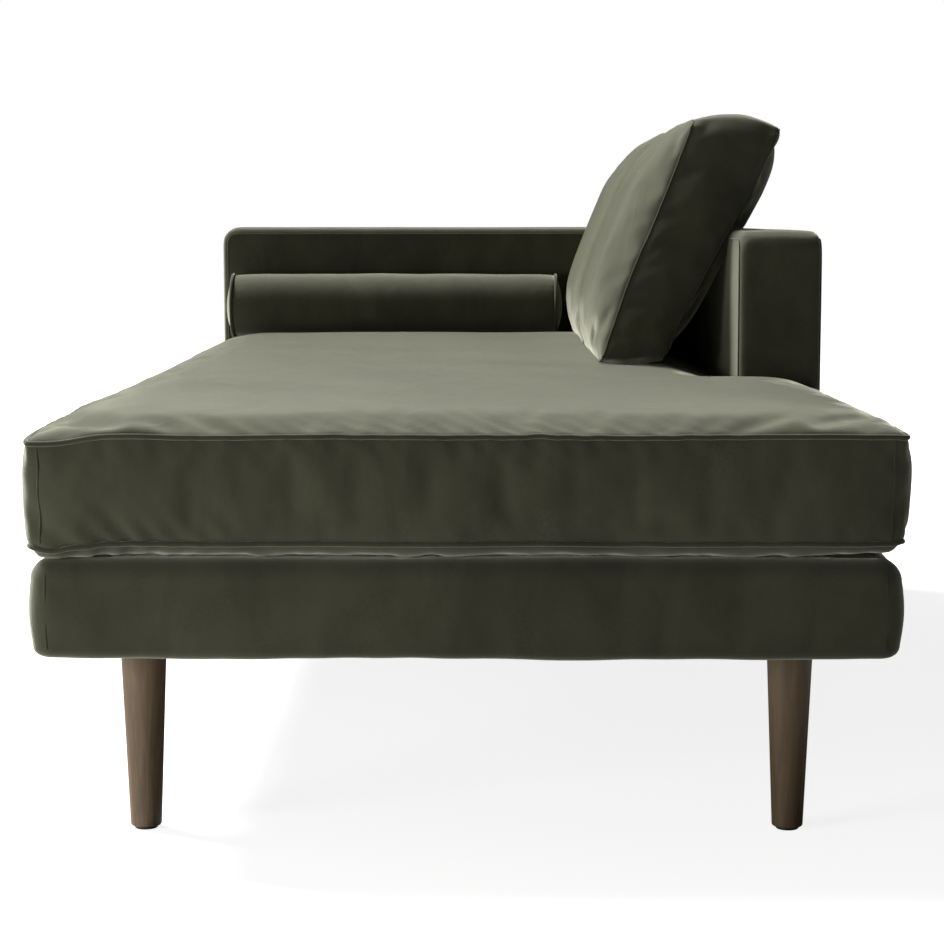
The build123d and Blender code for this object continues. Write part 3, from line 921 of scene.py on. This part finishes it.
def cushion(name, seed):
    """A box cushion that leans on the back panel, blown up between its welted seams."""
    front_bottom, front_top, back_top, back_bottom = cushion_corners(name)
    low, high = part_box(name + "_front_welt")
    half = (high.y - low.y) / 2 - welt_radius
    middle = (high.y + low.y) / 2
    tall = (front_top - front_bottom).length
    thick = 0.115

    def placed(point):
        """From the cushion's own width, height and depth to its place on the daybed."""
        up = point.z / tall
        deep = point.y / thick
        front = front_bottom.lerp(front_top, up)
        back = back_bottom.lerp(back_top, up)
        inside = front.lerp(back, min(1.0, max(0.0, deep)))
        across = (back - front).normalized()
        spill = min(0.0, deep) + max(0.0, deep - 1)
        place = inside + across * spill * thick
        share = max(0.0, min(1.0, (up - 0.3) / 0.5))
        lean = 0.008 * share * share * (3 - 2 * share)
        return Vector((place.x + lean, middle + point.x, place.z))

    def seam_loop(depth, step=0.006):
        corner = 0.016
        corners = [
            (-half, depth, 0),
            (half, depth, 0),
            (half, depth, tall),
            (-half, depth, tall),
        ]
        return rounded_outline(corners, [corner, corner, 1.6 * corner, 1.6 * corner], step)

    front_loop = seam_loop(0.0)
    back_loop = seam_loop(thick)
    count = len(front_loop)
    verts = front_loop + back_loop
    faces = [tuple(range(count)), tuple(count + i for i in reversed(range(count)))]
    for i in range(count):
        j = (i + 1) % count
        faces.append((i, j, count + j, count + i))
    piece = new_piece(name + "_upholstery", verts, faces)
    remeshed(piece, cushion_voxel)

    def domed(point):
        edge_x = max(0.0, half - abs(point.x))
        edge_z = max(0.0, min(point.z, 1.7 * (tall - point.z)))
        rise = (1 - math.exp(-edge_x / 0.045)) * (1 - math.exp(-edge_z / 0.045))
        if point.y < 0.003:
            return point - Vector((0, 0.035 * rise, 0))
        if point.y > thick - 0.003:
            return point + Vector((0, 0.005 * rise, 0))
        swell = 0.009 * math.sin(math.pi * point.y / thick)
        if edge_z < edge_x and point.z > tall / 2:
            return point + Vector((0, 0, swell))
        if edge_x < edge_z:
            return point + Vector((math.copysign(0.5 * swell, point.x), 0, 0))
        return point

    moved(piece, domed)
    held = held_by(piece, [front_loop, back_loop], 0.006)
    stuffed(piece, held, pressure=4.0, surplus=0.03, cap=0.016)
    softened(piece, 3)

    def settled(place):
        """Flattens the underside on the mattress and keeps the back off the panel."""
        floor = mattress_high.z + 0.0015
        if place.z < floor:
            place.z = floor + 0.0002 * (place.z - floor)
        over = place.x - (back_low.x - 0.0015)
        under = back_high.z + 0.0015 - place.z
        if over > 0 and under > 0:
            if over < under:
                place.x -= over
            else:
                place.z += under
        return place

    moved(piece, lambda point: settled(placed(point)))
    subdivided(piece)
    placed_loops = [[placed(point) for point in loop] for loop in (front_loop, back_loop)]
    puckered(piece, placed_loops, 0.0010, 0.034, reach=0.016)
    roughened(piece, 0.0028, 4.5, seed=seed)
    dress(piece, name, "velvet", name + "_cover", name + "_core")
    for side, loop in (("front", front_loop), ("back", back_loop)):
        grow = Vector((0, -0.0015 if side == "front" else 0.0015, 0))
        path = []
        for point in loop:
            outwards = Vector((point.x, 0, point.z - tall / 2)).normalized()
            path.append(placed(point + grow + outwards * 0.001))
        path = laid_on(piece, [settled(place) for place in path], 0.3 * welt_radius)
        welt = tube(name + "_" + side + "_piping", path, welt_radius * 0.7)
        dress(welt, name, "welt_velvet", name + "_" + side + "_welt")


# ---- Bolster ----


def bolster():
    """A round bolster with puffed sides, crowned ends and a welt round each end."""
    low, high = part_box("bolster_welts")
    centre = (low + high) / 2
    radius = (high.z - low.z) / 2
    half = (high.x - low.x) / 2
    around = 96
    seam_x = half - 0.006
    profile = []
    for k in range(7):
        share = k / 6
        profile.append((-seam_x - 0.012 * (1 - share**2), (radius - 0.004) * share))
    rows = 60
    for k in range(1, rows):
        share = k / rows
        pinch = 0.0035 * (math.exp(-share * rows / 2.5) + math.exp(-(1 - share) * rows / 2.5))
        profile.append((-seam_x + 2 * seam_x * share, radius - 0.0005 - pinch))
    profile += [(-x, r) for x, r in reversed(profile[:7])]
    verts = []
    for x, r in profile:
        for i in range(around):
            angle = 2 * math.pi * i / around
            gather = 1 + 0.004 * math.sin(angle * 24 + 1.3) * math.exp(-abs(half - abs(x)) / 0.02)
            r_here = r * gather
            y = centre.y + r_here * math.cos(angle)
            z = centre.z + r_here * math.sin(angle)
            verts.append(Vector((centre.x + x, y, z)))
    piece = new_piece("bolster_upholstery", verts, ring_faces(len(profile), around))
    roughened(piece, 0.0016, 11.0, seed=3.0)
    subdivided(piece)
    dress(piece, "bolster", "velvet", "bolster_cover", "bolster_core")
    welts = []
    for x in (-seam_x, seam_x):
        path = []
        for i in range(around):
            angle = 2 * math.pi * i / around
            y = centre.y + (radius - welt_radius) * math.cos(angle)
            z = centre.z + (radius - welt_radius) * math.sin(angle)
            path.append(Vector((centre.x + x, y, z)))
        welts.append(tube("welt", path, welt_radius))
    dress(joined("bolster_end_piping", welts), "bolster", "welt_velvet", "bolster_welts")


# ---- Legs ----


def leg(node):
    """A turned tapered leg with a softened foot edge."""
    low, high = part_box(node)
    centre = (low + high) / 2
    top_radius = (high.x - low.x) / 2
    bottom_radius = 0.0174
    height = high.z - low.z
    soft = 0.0022
    profile = [(0.0, low.z), (bottom_radius - soft, low.z)]
    for k in range(1, 5):
        angle = math.pi / 2 * k / 4
        profile.append(
            (bottom_radius - soft + soft * math.sin(angle), low.z + soft - soft * math.cos(angle))
        )
    for k in range(1, 25):
        share = k / 24
        radius = bottom_radius + (top_radius - bottom_radius) * share
        profile.append((radius, low.z + soft + (height - soft) * share))
    profile.append((0.0, high.z))
    around = 64
    verts = []
    for r, z in profile:
        for i in range(around):
            angle = 2 * math.pi * i / around
            verts.append((centre.x + r * math.cos(angle), centre.y + r * math.sin(angle), z))
    piece = new_piece(node + "_turned", verts, ring_faces(len(profile), around))
    dress(piece, "base", "walnut", node)


# ---- Everything ----

for record_part in frame["record"]["subparts"]:
    cad_node = frame["nodes"][record_part["node"]]
    cad_node.data.materials.clear()
    cad_node.data.materials.append(finishes[record_part["material_slot"]])

mattress_piece = mattress()
mattress_corner_seams(mattress_piece)
mattress_piping(mattress_piece)
base_seams(base_cover())
deck()
panel("arm_upholstery", "arm", along_y=False)
panel("back_upholstery", "back", along_y=True)
cushion("foot_cushion", seed=1.0)
cushion("head_cushion", seed=6.0)
bolster()
for leg_node in ("foot_left_leg", "foot_right_leg", "head_left_leg", "head_right_leg"):
    leg(leg_node)


# ---- Camera, floor and light ----


def camera():
    """The photograph's view, from the open foot end."""
    data = bpy.data.cameras.new("camera")
    data.lens = camera_lens
    data.sensor_width = 36.0
    viewer = bpy.data.objects.new("camera", data)
    viewer.location = camera_place
    viewer.rotation_euler = (math.pi / 2 - camera_pitch, 0, camera_yaw)
    scene.collection.objects.link(viewer)
    scene.camera = viewer


def floor():
    """A wide pale floor that runs out to white."""
    size = 30.0
    verts = [(-size, -size, 0), (size, -size, 0), (size, size, 0), (-size, size, 0)]
    piece = new_piece("studio_floor", verts, [(0, 1, 2, 3)])
    nodes = Nodes("pale_floor")
    mottle = nodes.noise(1.5)
    colour = nodes.ramp(mottle, [(0.3, (0.64, 0.64, 0.64)), (0.7, (0.66, 0.66, 0.66))])
    nodes.shader.inputs["Emission Color"].default_value = (1, 1, 1, 1)
    reach = nodes.add("ShaderNodeVectorMath", operation="LENGTH")
    nodes.link(nodes.place, reach.inputs[0])
    glow = nodes.grey(reach.outputs["Value"], 0.84, 0.985, 0.8, 3.5)
    seen = nodes.add("ShaderNodeLightPath").outputs["Is Camera Ray"]
    strength = nodes.add("ShaderNodeMath", operation="MULTIPLY")
    nodes.link(glow, strength.inputs[0])
    nodes.link(seen, strength.inputs[1])
    nodes.link(strength.outputs["Value"], nodes.shader.inputs["Emission Strength"])
    piece.data.materials.append(nodes.finish(colour, nodes.grey(mottle, 0.8, 0.9)))


def area_light(name, place, target, size, power, colour=(1, 1, 1)):
    """A soft rectangular light that looks at a target."""
    data = bpy.data.lights.new(name, "AREA")
    data.shape = "RECTANGLE"
    data.size = size[0]
    data.size_y = size[1]
    data.energy = power
    data.color = colour
    lamp = bpy.data.objects.new(name, data)
    lamp.visible_camera = False
    lamp.location = place
    lamp.rotation_euler = (Vector(target) - Vector(place)).to_track_quat("-Z", "Y").to_euler()
    scene.collection.objects.link(lamp)


def sky():
    """White behind the daybed, and a soft grey for the light it gives."""
    world = bpy.data.worlds.new("studio")
    scene.world = world
    world.use_nodes = True
    tree = world.node_tree
    background = tree.nodes["Background"]
    background.inputs["Color"].default_value = (1, 1, 1, 1)
    seen = tree.nodes.new("ShaderNodeLightPath").outputs["Is Camera Ray"]
    strength = tree.nodes.new("ShaderNodeMapRange")
    strength.inputs["To Min"].default_value = 0.04
    strength.inputs["To Max"].default_value = 1.0
    tree.links.new(seen, strength.inputs["Value"])
    tree.links.new(strength.outputs["Result"], background.inputs["Strength"])


camera()
floor()
area_light("high_rear_key", (-4.9, 2.7, 6.5), (0.0, 0.0, 0.4), (3.0, 3.0), 1450)
area_light("low_front_fill", (-1.85, -2.15, 0.55), (-0.1, -1.0, 0.28), (1.0, 0.6), 22)
sky()
scene.view_settings.view_transform = "Standard"
